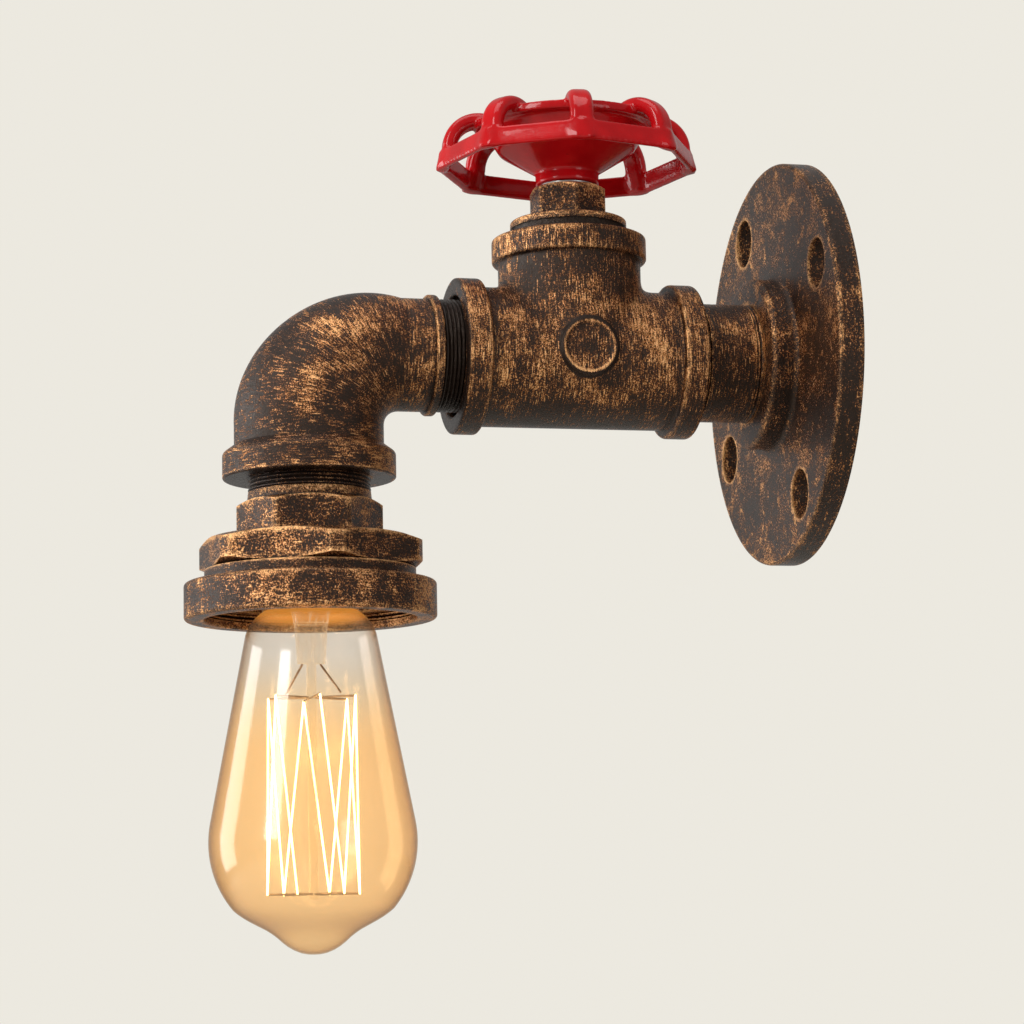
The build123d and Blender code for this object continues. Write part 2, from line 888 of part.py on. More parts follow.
with BuildPart() as wheel_nut:
    with BuildSketch(level_plane(tee_reach, washer_top)):
        RegularPolygon(wheel_nut_across_flats / 2, 6, major_radius=False)
        Circle(stem_thread_od / 2 + stem_clearance, mode=Mode.SUBTRACT)
    extrude(amount=wheel_nut_height)
export(wheel_nut, "wheel_nut")

# ------------------------------------------------------------ lampholder

liner_outer_radius = holder_bore_radius - liner_gap
skirt_top = holder_mouth + holder_skirt_height
chamber_top = holder_top - tube_seat
chamber_bottom = chamber_top - 2 * wire_radius - thread_gap
shank_top = chamber_bottom + 2 * wire_radius

with BuildPart() as socket_body:
    with BuildSketch(lamp_plane):
        with BuildLine():
            Polyline(
                (0, holder_top),
                (holder_head_radius, holder_top),
                (holder_head_radius, holder_shoulder),
                (holder_radius, holder_shoulder),
                (holder_radius, skirt_top),
                (holder_skirt_radius, skirt_top),
                (holder_skirt_radius, holder_mouth),
                (holder_bore_radius, holder_mouth),
                (holder_bore_radius, holder_ceiling),
                (0, holder_ceiling),
                close=True,
            )
        make_face()
        head_corner = [(holder_head_radius, holder_top)]
        fillet(vertices().filter_by(at_places(head_corner)), holder_clearance * 2)
    revolve(axis=lamp_axis)
    with BuildSketch(level_plane(lamp_reach, holder_top)):
        Circle(tube_od / 2 + tube_gap)
    extrude(amount=-tube_seat, mode=Mode.SUBTRACT)
    with BuildSketch(level_plane(lamp_reach, chamber_bottom)):
        SlotCenterToCenter(2 * terminal_spread, 2 * terminal_shank_radius + 1)
    extrude(amount=chamber_top - chamber_bottom, mode=Mode.SUBTRACT)
    with BuildSketch(level_plane(lamp_reach, holder_ceiling)):
        with Locations((-terminal_spread, 0), (terminal_spread, 0)):
            Circle(terminal_shank_radius + tube_gap)
    extrude(amount=chamber_bottom - holder_ceiling, mode=Mode.SUBTRACT)
export(socket_body, "socket_body")

with BuildPart() as socket_screw_shell:
    with BuildSketch(level_plane(lamp_reach, holder_mouth + tongue_thickness)):
        Circle(liner_outer_radius)
        Circle(liner_outer_radius - liner_wall, mode=Mode.SUBTRACT)
    extrude(amount=holder_ceiling - terminal_head_height - holder_mouth - 2 * tongue_thickness)
export(socket_screw_shell, "socket_screw_shell")

tongue_tip = cap_tip + tongue_gap
tongue_seat = holder_ceiling - tongue_thickness
tongue_root = terminal_spread - terminal_head_radius - tongue_gap

with BuildPart() as socket_centre_contact:
    with BuildSketch(Plane.XZ.offset(lamp_reach - tongue_width / 2)):
        with BuildLine():
            Polyline(
                (-tongue_root, holder_ceiling),
                (-tongue_root, tongue_seat),
                (-tongue_root / 2, tongue_seat),
                (-button_radius / 3, tongue_tip),
                (button_radius, tongue_tip),
                (button_radius, tongue_tip + tongue_thickness),
                (0, tongue_tip + tongue_thickness),
                (-tongue_root / 2 + tongue_thickness * 2, holder_ceiling),
                close=True,
            )
        make_face()
    extrude(amount=tongue_width)
export(socket_centre_contact, "socket_centre_contact")

with BuildPart() as socket_terminal_screws:
    with BuildSketch(level_plane(lamp_reach, holder_ceiling)):
        with Locations((-terminal_spread, 0), (terminal_spread, 0)):
            Circle(terminal_shank_radius)
    extrude(amount=shank_top - holder_ceiling)
    with BuildSketch(level_plane(lamp_reach, holder_ceiling)):
        with Locations((-terminal_spread, 0), (terminal_spread, 0)):
            Circle(terminal_head_radius)
    extrude(amount=-terminal_head_height)
export(socket_terminal_screws, "socket_terminal_screws")

# ------------------------------------------------------------ tube, washer, lug and nut

with BuildPart() as lamp_tube:
    with BuildSketch(level_plane(lamp_reach, chamber_top)):
        Circle(tube_od / 2)
        Circle(tube_bore / 2, mode=Mode.SUBTRACT)
    extrude(amount=tube_top - chamber_top)
export(lamp_tube, "lamp_tube")

with BuildPart() as lamp_tube_washer:
    with BuildSketch(level_plane(lamp_reach, nipple_top)):
        Circle(tube_washer_od / 2)
        Circle(tube_od / 2 + tube_gap, mode=Mode.SUBTRACT)
    extrude(amount=tube_washer_thickness)
export(lamp_tube_washer, "lamp_tube_washer")

with BuildPart() as earth_lug:
    with BuildSketch(level_plane(lamp_reach, tube_washer_top)):
        Circle(tube_nut_across_flats / 2)
        with Locations((0, lug_offset / 2)):
            Rectangle(2 * lug_barrel_radius, lug_offset)
        with Locations((0, lug_offset)):
            Circle(lug_barrel_radius)
        Circle(tube_od / 2 + tube_gap, mode=Mode.SUBTRACT)
    extrude(amount=lug_thickness)
    with BuildSketch(level_plane(lamp_reach, lug_top)):
        with Locations((0, lug_offset)):
            Circle(lug_barrel_radius)
            Circle(wire_radius + tube_gap, mode=Mode.SUBTRACT)
    extrude(amount=lug_barrel_height)
export(earth_lug, "earth_lug")

with BuildPart() as lamp_tube_nut:
    with BuildSketch(level_plane(lamp_reach, lug_top)):
        RegularPolygon(tube_nut_across_flats / 2, 6, major_radius=False)
        Circle(tube_od / 2 + tube_gap, mode=Mode.SUBTRACT)
    extrude(amount=tube_nut_height)
export(lamp_tube_nut, "lamp_tube_nut")

# ------------------------------------------------------------ terminal block and wires

block_width = pole_count * pole_pitch
bore_at_corner = sqrt((pipe_bore_radius - block_seat_gap) ** 2 - (block_width / 2) ** 2)
block_middle = block_height / 2 - bore_at_corner
block_top = block_middle + block_height / 2
block_end = block_reach + block_length
pole_places = [(pole - (pole_count - 1) / 2) * pole_pitch for pole in range(pole_count)]
screw_reaches = [block_reach + block_screw_inset, block_end - block_screw_inset]

with BuildPart() as terminal_block:
    with BuildSketch(Plane.XZ.offset(block_reach)):
        with Locations((0, block_middle)):
            Rectangle(block_width, block_height)
        with Locations(*[(place, block_middle) for place in pole_places]):
            Circle(block_hole_radius, mode=Mode.SUBTRACT)
    extrude(amount=block_length)
    with BuildSketch(Plane.XY.offset(block_top)):
        with Locations(*[(place, -reach) for place in pole_places for reach in screw_reaches]):
            Circle(block_screw_radius + tube_gap)
    extrude(amount=block_middle - block_top, mode=Mode.SUBTRACT)
export(terminal_block, "terminal_block")

with BuildPart() as terminal_block_screws:
    with BuildSketch(Plane.XY.offset(block_middle + block_hole_radius)):
        with Locations(*[(place, -reach) for place in pole_places for reach in screw_reaches]):
            Circle(block_screw_radius)
    extrude(amount=block_height / 4)
export(terminal_block_screws, "terminal_block_screws")

wire_start = block_end - block_screw_inset - block_screw_radius
gather_start = block_end + pole_pitch
gather_end = tee_near_face + tee_arm
wire_floor = chamber_bottom + wire_radius
wire_stop = terminal_spread - terminal_shank_radius - wire_radius / 4


def wire_along(points, radii, name):
    """A wire along straight runs joined by arcs, with a print of how fully it fills its run."""
    with BuildPart() as wire:
        with BuildLine() as route:
            FilletPolyline(*points, radius=radii)
        run = route.wire()
        with BuildSketch(Plane(origin=run @ 0, z_dir=run % 0)):
            Circle(wire_radius)
        sweep(path=run)
    share = wire.part.volume / (pi * wire_radius**2 * run.length)
    print(f"{name}: radii {radii}, length {run.length:.1f}, volume share {share:.4f}")
    export(wire, name)
    return wire


for name, pole, side in (("live_wire", pole_places[0], -1), ("neutral_wire", pole_places[-1], 1)):
    abreast = side * wire_spacing / 2
    wire_along(
        [
            (pole, -wire_start, block_middle),
            (pole, -gather_start, block_middle),
            (abreast, -gather_end, 0),
            (abreast, -lamp_reach, 0),
            (abreast, -lamp_reach, wire_floor),
            (side * wire_stop, -lamp_reach, wire_floor),
        ],
        [wire_bend, wire_bend, wire_bend, wire_radius * 2],
        name,
    )

lug_reach = lamp_reach - lug_offset
wire_along(
    [
        (0, -wire_start, block_middle),
        (0, -gather_start, block_middle),
        (0, -gather_end, -earth_drop),
        (0, -lug_reach, -earth_drop),
        (0, -lug_reach, lug_top + wire_radius / 2),
    ],
    [wire_bend, wire_bend, wire_bend / 3],
    "earth_wire",
)

# ------------------------------------------------------------ bulb envelope

# The side outline is the bottom arc, the straight taper and the shoulder arc, each tangent to
# the next. The inside is the same outline with every radius less by the wall.
neck_radius = cap_root_radius - cap_wall - neck_gap
lean = radians(bulb_taper)
taper_top = (
    bulb_radius * cos(lean) - bulb_taper_length * sin(lean),
    bulb_centre + bulb_radius * sin(lean) + bulb_taper_length * cos(lean),
)
shoulder_centre = (
    taper_top[0] - shoulder_radius * cos(lean),
    taper_top[1] - shoulder_radius * sin(lean),
)
shoulder_end = bulb_taper + shoulder_sweep


def on_circle(centre, radius, angle):
    """A point of a circle in the profile's plane."""
    return (centre[0] + radius * cos(radians(angle)), centre[1] + radius * sin(radians(angle)))


def envelope_face(inset, tip):
    """Half of the envelope's section, drawn less by an inset, with its sealed tip or without."""
    bottom = (0, bulb_centre - bulb_radius + inset)
    bulge = on_circle((0, bulb_centre), bulb_radius - inset, bulb_taper)
    shoulder = on_circle(shoulder_centre, shoulder_radius - inset, bulb_taper)
    neck = on_circle(shoulder_centre, shoulder_radius - inset, shoulder_end)
    with BuildSketch(lamp_plane, mode=Mode.PRIVATE) as half:
        with BuildLine():
            CenterArc((0, bulb_centre), bulb_radius - inset, -90, 90 + bulb_taper)
            Line(bulge, shoulder)
            CenterArc(shoulder_centre, shoulder_radius - inset, bulb_taper, shoulder_sweep)
            Polyline(neck, (neck_radius - inset, neck[1]), (neck_radius - inset, neck_top))
            Polyline((neck_radius - inset, neck_top), (0, neck_top), bottom)
        make_face()
        if tip:
            with BuildLine():
                Line((0, bottom[1] + tip_radius), (0, bottom[1] - tip_length))
                Spline(
                    (0, bottom[1] - tip_length),
                    (tip_waist_radius, bottom[1] - tip_waist_drop),
                    (tip_root_radius, bottom[1] + tip_root_height),
                )
                Line((tip_root_radius, bottom[1] + tip_root_height), (0, bottom[1] + tip_radius))
            make_face()
    return half.sketch


neck_top = on_circle(shoulder_centre, shoulder_radius, shoulder_end)[1] + neck_length

with BuildPart() as bulb_glass:
    revolve(envelope_face(0, True), axis=lamp_axis)
    revolve(envelope_face(glass_wall, False), axis=lamp_axis, mode=Mode.SUBTRACT)
export(bulb_glass, "bulb_glass")

# ------------------------------------------------------------ bulb cap

cap_thread_top = cap_rim + cap_rim_height + cap_turns * cap_pitch
cap_shell_top = cap_thread_top + cap_neck_height
cap_neck_radius = insulator_radius


def rolled_wall(inset):
    """Outline of the rolled cap from its rim to its neck, drawn less by an inset."""
    rim_top = cap_rim + cap_rim_height
    Line((cap_rim_radius - inset, cap_rim), (cap_rim_radius - inset, rim_top - cap_pitch / 4))
    Line((cap_rim_radius - inset, rim_top - cap_pitch / 4), (cap_root_radius - inset, rim_top))
    for turn in range(cap_turns):
        base = rim_top + turn * cap_pitch
        ThreePointArc(
            (cap_root_radius - inset, base),
            (cap_crest_radius - inset, base + cap_pitch / 2),
            (cap_root_radius - inset, base + cap_pitch),
        )
    Line((cap_root_radius - inset, cap_thread_top), (cap_neck_radius - inset, cap_shell_top))


with BuildPart() as bulb_cap_shell:
    with BuildSketch(lamp_plane):
        with BuildLine():
            rolled_wall(0)
            rolled_wall(cap_wall)
            Line((cap_rim_radius, cap_rim), (cap_rim_radius - cap_wall, cap_rim))
            Line((cap_neck_radius, cap_shell_top), (cap_neck_radius - cap_wall, cap_shell_top))
        make_face()
    revolve(axis=lamp_axis)
export(bulb_cap_shell, "bulb_cap_shell")

button_base = cap_tip - button_height

with BuildPart() as bulb_cap_insulator:
    with BuildSketch(lamp_plane):
        with BuildLine():
            Polyline(
                (0, cap_shell_top),
                (cap_neck_radius, cap_shell_top),
                (button_radius, button_base),
                (0, button_base),
                close=True,
            )
        make_face()
    revolve(axis=lamp_axis)
export(bulb_cap_insulator, "bulb_cap_insulator")

with BuildPart() as bulb_cap_contact:
    with BuildSketch(lamp_plane):
        with BuildLine():
            Polyline(
                (0, button_base),
                (button_radius, button_base),
                (button_crown_radius, button_base + button_crown_height),
                (button_tip_radius, cap_tip),
                (0, cap_tip),
                close=True,
            )
        make_face()
    revolve(axis=lamp_axis)
export(bulb_cap_contact, "bulb_cap_contact")

# ------------------------------------------------------------ what stands inside the bulb

flare_radius = neck_radius - glass_wall - seal_gap
flare_top = neck_top - seal_gap
press_top = flare_top - stem_flare_length
press_bottom = press_top - press_length
cage_top = cap_rim - cage_top_drop
cage_bottom = cage_top - cage_height
rod_bottom = cage_bottom - rod_beyond_cage

with BuildPart() as bulb_stem:
    with BuildSketch(lamp_plane):
        with BuildLine():
            Spline(
                (flare_radius, flare_top),
                (press_width / 2 + flare_swell, (flare_top + press_top) / 2),
                (press_width / 2, press_top),
            )
            Polyline(
                (press_width / 2, press_top),
                (0, press_top),
                (0, flare_top),
                (flare_radius, flare_top),
            )
        make_face()
    revolve(axis=lamp_axis)
    with BuildSketch(level_plane(lamp_reach, press_top)):
        SlotOverall(press_width - 2 * seal_gap, press_depth, rotation=90)
    with BuildSketch(level_plane(lamp_reach, press_bottom)):
        SlotOverall(press_width - press_narrowing, press_depth - press_narrowing / 2, rotation=90)
    loft()
    with BuildSketch(level_plane(lamp_reach, press_bottom)):
        Circle(rod_radius)
    extrude(amount=rod_bottom - press_bottom)
export(bulb_stem, "bulb_stem")


def bar(start, stop, radius):
    """A round bar between two points, with a ball at its far end."""
    run = Edge.make_line(start, stop)
    rod = Solid.make_cylinder(radius, run.length, Plane(origin=start, z_dir=run % 0))
    ball = Solid.make_sphere(radius, Plane(origin=stop, z_dir=run % 0))
    return rod.fuse(ball)


def cage_point(radius, place, level):
    """A point at a radius and a level, at a place counted in strands round the lamp's axis."""
    turn = 2 * pi * place / cage_strands
    return (radius * cos(turn), radius * sin(turn) - lamp_reach, level)


lead_foot = (press_width - press_narrowing) / 3
hook_end = cage_radius - filament_radius - support_radius

strand_levels = [cage_top if strand % 2 == 0 else cage_bottom for strand in range(cage_strands)]

filament_bars = [
    bar(
        cage_point(cage_radius, strand, strand_levels[strand]),
        cage_point(cage_radius, strand + 1, strand_levels[strand + 1]),
        filament_radius,
    )
    for strand in range(cage_strands - 1)
]
with BuildPart() as bulb_filament:
    add(filament_bars)
export(bulb_filament, "bulb_filament")

support_bars = [
    bar(cage_point(rod_radius, strand, level), cage_point(hook_end, strand, level), support_radius)
    for strand, level in enumerate(strand_levels)
]
with BuildPart() as bulb_support_wires:
    add(support_bars)
export(bulb_support_wires, "bulb_support_wires")

lead_end = cage_top + 2 * support_radius
lead_bars = [
    bar(
        (0, side * lead_foot - lamp_reach, press_bottom - support_radius),
        cage_point(hook_end, lead_place, lead_end),
        support_radius,
    )
    for side, lead_place in ((1, 1), (-1, 1 + cage_strands / 2))
]
with BuildPart() as bulb_lead_wires:
    add(lead_bars)
export(bulb_lead_wires, "bulb_lead_wires")

print(f"lamp reach {lamp_reach:.2f}, wheel base {wheel_base:.2f}, cap rim {cap_rim:.2f}")
print(f"bulb bottom {bulb_centre - bulb_radius - tip_length:.2f}, shell bore {neck_top:.2f}")
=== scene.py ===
import json
import math

import bpy
from mathutils import Matrix, Vector

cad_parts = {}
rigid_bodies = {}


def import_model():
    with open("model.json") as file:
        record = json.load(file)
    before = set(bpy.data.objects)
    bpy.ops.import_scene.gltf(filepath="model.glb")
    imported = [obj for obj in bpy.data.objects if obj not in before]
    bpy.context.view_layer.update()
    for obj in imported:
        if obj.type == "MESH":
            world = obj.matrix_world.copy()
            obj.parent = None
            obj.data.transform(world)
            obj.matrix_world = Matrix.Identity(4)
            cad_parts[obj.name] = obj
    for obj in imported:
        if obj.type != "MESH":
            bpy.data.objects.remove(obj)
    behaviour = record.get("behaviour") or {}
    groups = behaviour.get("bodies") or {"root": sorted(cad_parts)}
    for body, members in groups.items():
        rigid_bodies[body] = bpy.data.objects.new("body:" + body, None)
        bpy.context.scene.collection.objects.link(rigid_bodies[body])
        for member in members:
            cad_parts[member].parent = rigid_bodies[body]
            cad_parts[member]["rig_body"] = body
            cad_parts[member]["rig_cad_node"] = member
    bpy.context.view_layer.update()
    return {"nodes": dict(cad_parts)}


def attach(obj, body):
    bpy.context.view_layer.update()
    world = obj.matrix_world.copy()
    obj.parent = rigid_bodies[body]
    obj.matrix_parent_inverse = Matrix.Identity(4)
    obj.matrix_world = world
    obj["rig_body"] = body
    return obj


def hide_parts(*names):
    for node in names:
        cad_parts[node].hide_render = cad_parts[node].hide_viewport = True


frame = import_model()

for spare in ("Cube", "Light", "Camera"):
    if spare in bpy.data.objects:
        bpy.data.objects.remove(bpy.data.objects[spare])

# ---------------------------------------------------------------- the studio
# A pale room seen from the right and a little below. The paper behind the light is warm white.
# Soft lamps stand in front on the left, overhead and on the right, with a strip behind on the left.


class Socket:
    """A node's output, which Python's own arithmetic works on."""

    def __init__(self, nodes, link):
        self.nodes = nodes
        self.link = link

    def maths(self, operation, *values):
        return self.nodes.add("ShaderNodeMath", {"operation": operation}, dict(enumerate(values)))

    def __add__(self, other):
        return self.maths("ADD", self, other)

    def __radd__(self, other):
        return self.maths("ADD", other, self)

    def __sub__(self, other):
        return self.maths("SUBTRACT", self, other)

    def __rsub__(self, other):
        return self.maths("SUBTRACT", other, self)

    def __mul__(self, other):
        return self.maths("MULTIPLY", self, other)

    def __pow__(self, other):
        return self.maths("POWER", self, other)

    def above(self):
        """The value where it is above 0, and 0 elsewhere."""
        return self.maths("MAXIMUM", self, 0.0)

    def size(self):
        """The value without its sign."""
        return self.maths("ABSOLUTE", self)


class Nodes:
    """The node tree of one finish, or of the room's light."""

    def __init__(self, owner):
        owner.use_nodes = True
        self.tree = owner.node_tree
        self.tree.nodes.clear()

    def add(self, kind, settings=None, inputs=None, output=0):
        node = self.tree.nodes.new(kind)
        for name, value in (settings or {}).items():
            setattr(node, name, value)
        for place, value in (inputs or {}).items():
            if isinstance(value, Socket):
                self.tree.links.new(value.link, node.inputs[place])
            else:
                node.inputs[place].default_value = value
        return Socket(self, node.outputs[output])

    def vector(self, operation, *values):
        inputs = dict(enumerate(values))
        return self.add("ShaderNodeVectorMath", {"operation": operation}, inputs)

    def noise(self, place, scale, detail=3.0, roughness=0.6):
        inputs = {"Vector": place, "Scale": scale, "Detail": detail, "Roughness": roughness}
        return self.add("ShaderNodeTexNoise", {}, inputs)

    def step(self, value, low, high):
        """0 below low, 1 above high, and a soft step between."""
        inputs = {"Value": value, "From Min": low, "From Max": high}
        return self.add("ShaderNodeMapRange", {"interpolation_type": "SMOOTHSTEP"}, inputs)

    def tint(self, mask, under, over):
        """The colour under where the mask is 0, and the colour over where it is 1."""
        under = under if isinstance(under, Socket) else (*under, 1.0)
        over = over if isinstance(over, Socket) else (*over, 1.0)
        return self.add("ShaderNodeMix", {"data_type": "RGBA"}, {0: mask, 6: under, 7: over}, 2)

    def place(self):
        """Where a point of the piece is, in metres."""
        return self.add("ShaderNodeTexCoord", output="Object")

    def measure(self, place, axis):
        """The X, Y or Z of a place."""
        return self.add("ShaderNodeSeparateXYZ", {}, {0: place}, axis)

    def end(self, shader, kind="ShaderNodeOutputMaterial"):
        last = self.tree.nodes.new(kind)
        self.tree.links.new(shader.link, last.inputs["Surface"])


paper_white = (0.840, 0.813, 0.742)
room_light = (0.95, 0.93, 0.90)
room_level = 0.40

room = Nodes(bpy.data.worlds.new("room"))
seen = room.add("ShaderNodeLightPath", output="Is Camera Ray")
passed = room.add("ShaderNodeLightPath", output="Is Transmission Ray")
shown = seen.maths("MAXIMUM", seen, passed)
lighting = room.add(
    "ShaderNodeBackground", {}, {"Color": (*room_light, 1.0), "Strength": room_level}
)
backdrop = room.add("ShaderNodeBackground", {}, {"Color": (*paper_white, 1.0), "Strength": 1.0})
room.end(
    room.add("ShaderNodeMixShader", {}, {0: shown, 1: lighting, 2: backdrop}),
    "ShaderNodeOutputWorld",
)
bpy.context.scene.world = bpy.data.worlds["room"]

for name, place, aim, size, power in (
    ("window lamp", (0.9, -1.5, 0.55), (0.0, -0.09, 0.0), (0.5, 1.3), 21.0),
    ("overhead lamp", (0.35, -0.35, 1.5), (0.0, -0.08, 0.0), (1.4, 1.0), 13.0),
    ("side lamp", (1.5, 0.75, -0.05), (0.0, -0.08, 0.0), (0.6, 1.1), 6.0),
    ("strip lamp", (-0.62, -1.25, 0.05), (0.0, -0.14, -0.11), (0.60, 1.1), 12.0),
):
    lamp = bpy.data.lights.new(name, "AREA")
    lamp.shape = "RECTANGLE"
    lamp.size, lamp.size_y = size
    lamp.energy = power
    stand = bpy.data.objects.new(name, lamp)
    bpy.context.scene.collection.objects.link(stand)
    stand.location = place
    stand.rotation_mode = "QUATERNION"
    stand.rotation_quaternion = (Vector(aim) - Vector(place)).to_track_quat("-Z", "Y")

bpy.ops.object.select_all(action="DESELECT")
floor_level = -0.62
bpy.ops.mesh.primitive_plane_add(size=7.0, location=(0.0, 0.0, floor_level))
floor = bpy.context.object
floor.name = "floor"
floor_grey = (0.60, 0.582, 0.535)
paint = bpy.data.materials.new("floor_paint")
nodes = Nodes(paint)
nodes.end(
    nodes.add(
        "ShaderNodeBsdfPrincipled",
        {},
        {"Base Color": (*floor_grey, 1.0), "Roughness": 0.8, "Specular IOR Level": 0.1},
    )
)
floor.data.materials.append(paint)

# The camera stands 0.87 m from the flange's middle, to the right of the light and below it.
# Its place and turn are those that lay the solids over the photograph.
camera_place = Vector((0.80285, -0.28413, -0.16339))
camera_azimuth = math.radians(76.03)
camera_elevation = math.radians(-8.23)
camera_roll = math.radians(-1.16)
focal_pixels = 3000.0
picture_pixels = 1024.0
backward = Vector(
    (
        math.sin(camera_azimuth) * math.cos(camera_elevation),
        -math.cos(camera_azimuth) * math.cos(camera_elevation),
        math.sin(camera_elevation),
    )
)
right = (-backward).cross(Vector((0, 0, 1))).normalized()
up = right.cross(-backward)
rolled_right = right * math.cos(camera_roll) + up * math.sin(camera_roll)
rolled_up = up * math.cos(camera_roll) - right * math.sin(camera_roll)
lens = bpy.data.cameras.new("camera")
lens.sensor_width = 36.0
lens.lens = focal_pixels / picture_pixels * lens.sensor_width
lens.clip_start = 0.01
camera = bpy.data.objects.new("camera", lens)
bpy.context.scene.collection.objects.link(camera)
turned = Matrix((rolled_right, rolled_up, backward)).transposed().to_4x4()
camera.matrix_world = Matrix.Translation(camera_place) @ turned
bpy.context.scene.camera = camera
bpy.context.scene.view_settings.view_transform = "Standard"

# ---------------------------------------------------------------- wall flange
# A round floor flange of malleable iron with four plain bolt holes and a threaded hub.
# It is painted near black, then dry brushed with copper, which catches the grain and the rim.

near_black = (0.0115, 0.0066, 0.0048)
brown = (0.080, 0.027, 0.0100)
copper = (0.43, 0.160, 0.048)
pale_copper = (0.84, 0.48, 0.215)


def bronze(
    name, stretch, cover, mottle, wear, path=None, shade=None, relief=0.00021, worn=0.0018
):
    """Near-black paint dry brushed with copper. The strokes lie across the axis that is stretched.

    Cover is how much copper there is, and mottle turns its strokes into grains. Edges are rubbed
    bright as strongly as wear says, as far in as worn says. Shade takes copper away from places.
    Relief is the height of the grain, and path bends the strokes round a curve.
    """
    cast_grain, speck_grain, blot_grain, area_grain = 1700.0, 3200.0, 190.0, 55.0
    corner_reach = 0.003
    finish = bpy.data.materials.new(name)
    nodes = Nodes(finish)
    place = nodes.place()
    way = path(nodes, place) if path else place
    strokes = nodes.noise(nodes.vector("MULTIPLY", way, stretch), 1.0, 3.0, 0.70) - 0.5
    hairs = nodes.vector("MULTIPLY", way, tuple(0.55 * share for share in stretch))
    scratch = nodes.step(nodes.noise(hairs, 1.7, 1.0, 0.5), 0.60, 0.72)
    cast = nodes.noise(place, cast_grain, 2.0, 0.62) - 0.5
    specks = nodes.noise(place, speck_grain, 1.0, 0.5) - 0.5
    blots = nodes.noise(place, blot_grain, 4.0, 0.66) - 0.5
    areas = nodes.noise(place, area_grain, 2.0, 0.5) - 0.5
    inner = nodes.add(
        "ShaderNodeAmbientOcclusion",
        {"samples": 4, "inside": True, "only_local": True},
        {"Distance": worn},
        "AO",
    )
    outer = nodes.add(
        "ShaderNodeAmbientOcclusion",
        {"samples": 4, "only_local": True},
        {"Distance": corner_reach},
        "AO",
    )
    edges = nodes.step(1 - inner, 0.08, 0.50)
    corners = nodes.step(1 - outer, 0.12, 0.50)
    ground = (
        strokes * (1.70 * (1 - mottle))
        + cast * (0.35 + 1.25 * mottle)
        + specks * 1.20
        + blots * 0.95
        + areas * 0.75
        + scratch * 0.24
        + edges * (0.38 * wear)
        - corners * 0.70
        + cover
    )
    if shade:
        ground = ground - shade(nodes, place)
    stain = nodes.step(ground, -0.12, 0.10)
    rubbed = nodes.step(ground, 0.07, 0.18)
    bright = nodes.step(ground, 0.20, 0.42)
    colour = nodes.tint(stain * 0.75, near_black, brown)
    colour = nodes.tint(rubbed * 0.94, colour, copper)
    colour = nodes.tint(bright, colour, pale_copper)
    height = cast * 1.0 + strokes * 0.8 + specks * 0.8 + rubbed * 0.25
    bump = nodes.add(
        "ShaderNodeBump", {}, {"Strength": 1.0, "Distance": relief, "Height": height}
    )
    nodes.end(
        nodes.add(
            "ShaderNodeBsdfPrincipled",
            {},
            {
                "Base Color": colour,
                "Roughness": 0.20 + rubbed * 0.09,
                "Metallic": rubbed * 0.86,
                "Specular IOR Level": 0.27,
                "Specular Tint": (1.0, 0.80, 0.66, 1.0),
                "Normal": bump,
            },
        )
    )
    return finish


def dress(name, finish):
    """The solid keeps its shape and takes this finish."""
    piece = frame["nodes"][name]
    piece.data.materials.clear()
    piece.data.materials.append(finish)


def flange_shade(nodes, place):
    """The brush caught the edges and the hub. The half of the face toward the window lamp gets a
    little less copper, which is painted shade.
    """
    x = nodes.measure(place, "X")
    y = nodes.measure(place, "Y")
    z = nodes.measure(place, "Z")
    out = (x * x + z * z) ** 0.5
    behind_face = nodes.step(y, -0.0074, -0.0064)
    side = nodes.step(out, 0.0566, 0.0572)
    wall_side = nodes.step(y, -0.0008, -0.0002)
    # Painted shade: the half of the face toward the window lamp is darkened by taking some copper
    # away.
    lamp_side_painted_shade = nodes.step(x, 0.0, 0.030) * 0.05
    return (1 - behind_face) * (0.05 + lamp_side_painted_shade) + side * 0.16 + wall_side * 0.30


flange_finish = bronze(
    "flange_bronze",
    (260.0, 1500.0, 260.0),
    -0.05,
    0.72,
    1.5,
    shade=flange_shade,
    relief=0.00024,
    worn=0.0016,
)
dress("wall_flange", flange_finish)

# ---------------------------------------------------------------- arm nipple
# A length of threaded pipe between the flange and the tee, brushed round and round.
# The top of the pipe was missed by the brush and is nearly bare paint.


def pipe_shade(nodes, place):
    """Most copper is missing along the top, and some along the bottom."""
    z = nodes.measure(place, "Z")
    top = nodes.step(z, 0.006, 0.016) * 0.22
    bottom = nodes.step(z, -0.011, -0.018) * 0.14
    return top + bottom


nipple_finish = bronze("nipple_bronze", (240.0, 3400.0, 240.0), 0.0, 0.10, 0.7, shade=pipe_shade)
dress("arm_nipple", nipple_finish)

# ---------------------------------------------------------------- tee
# A malleable iron tee with a band round each mouth and a plain round boss on each side.
# The casting swells softly where the neck leaves the run. The brush went round the run.


def cast_copy(name, piece_name, grain):
    """A copy of a solid with its facets merged and its surface remade as one even skin."""
    solid = frame["nodes"][name]
    piece = solid.copy()
    piece.data = solid.data.copy()
    piece.name = piece_name
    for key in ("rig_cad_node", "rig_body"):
        if key in piece:
            del piece[key]
    piece.parent = None
    bpy.context.scene.collection.objects.link(piece)
    bpy.ops.object.select_all(action="DESELECT")
    piece.select_set(True)
    bpy.context.view_layer.objects.active = piece
    bpy.ops.object.mode_set(mode="EDIT")
    bpy.ops.mesh.select_all(action="SELECT")
    bpy.ops.mesh.remove_doubles(threshold=0.000005)
    bpy.ops.object.mode_set(mode="OBJECT")
    skin = piece.modifiers.new("skin", "REMESH")
    skin.mode = "VOXEL"
    skin.voxel_size = grain
    bpy.ops.object.modifier_apply(modifier=skin.name)
    return piece


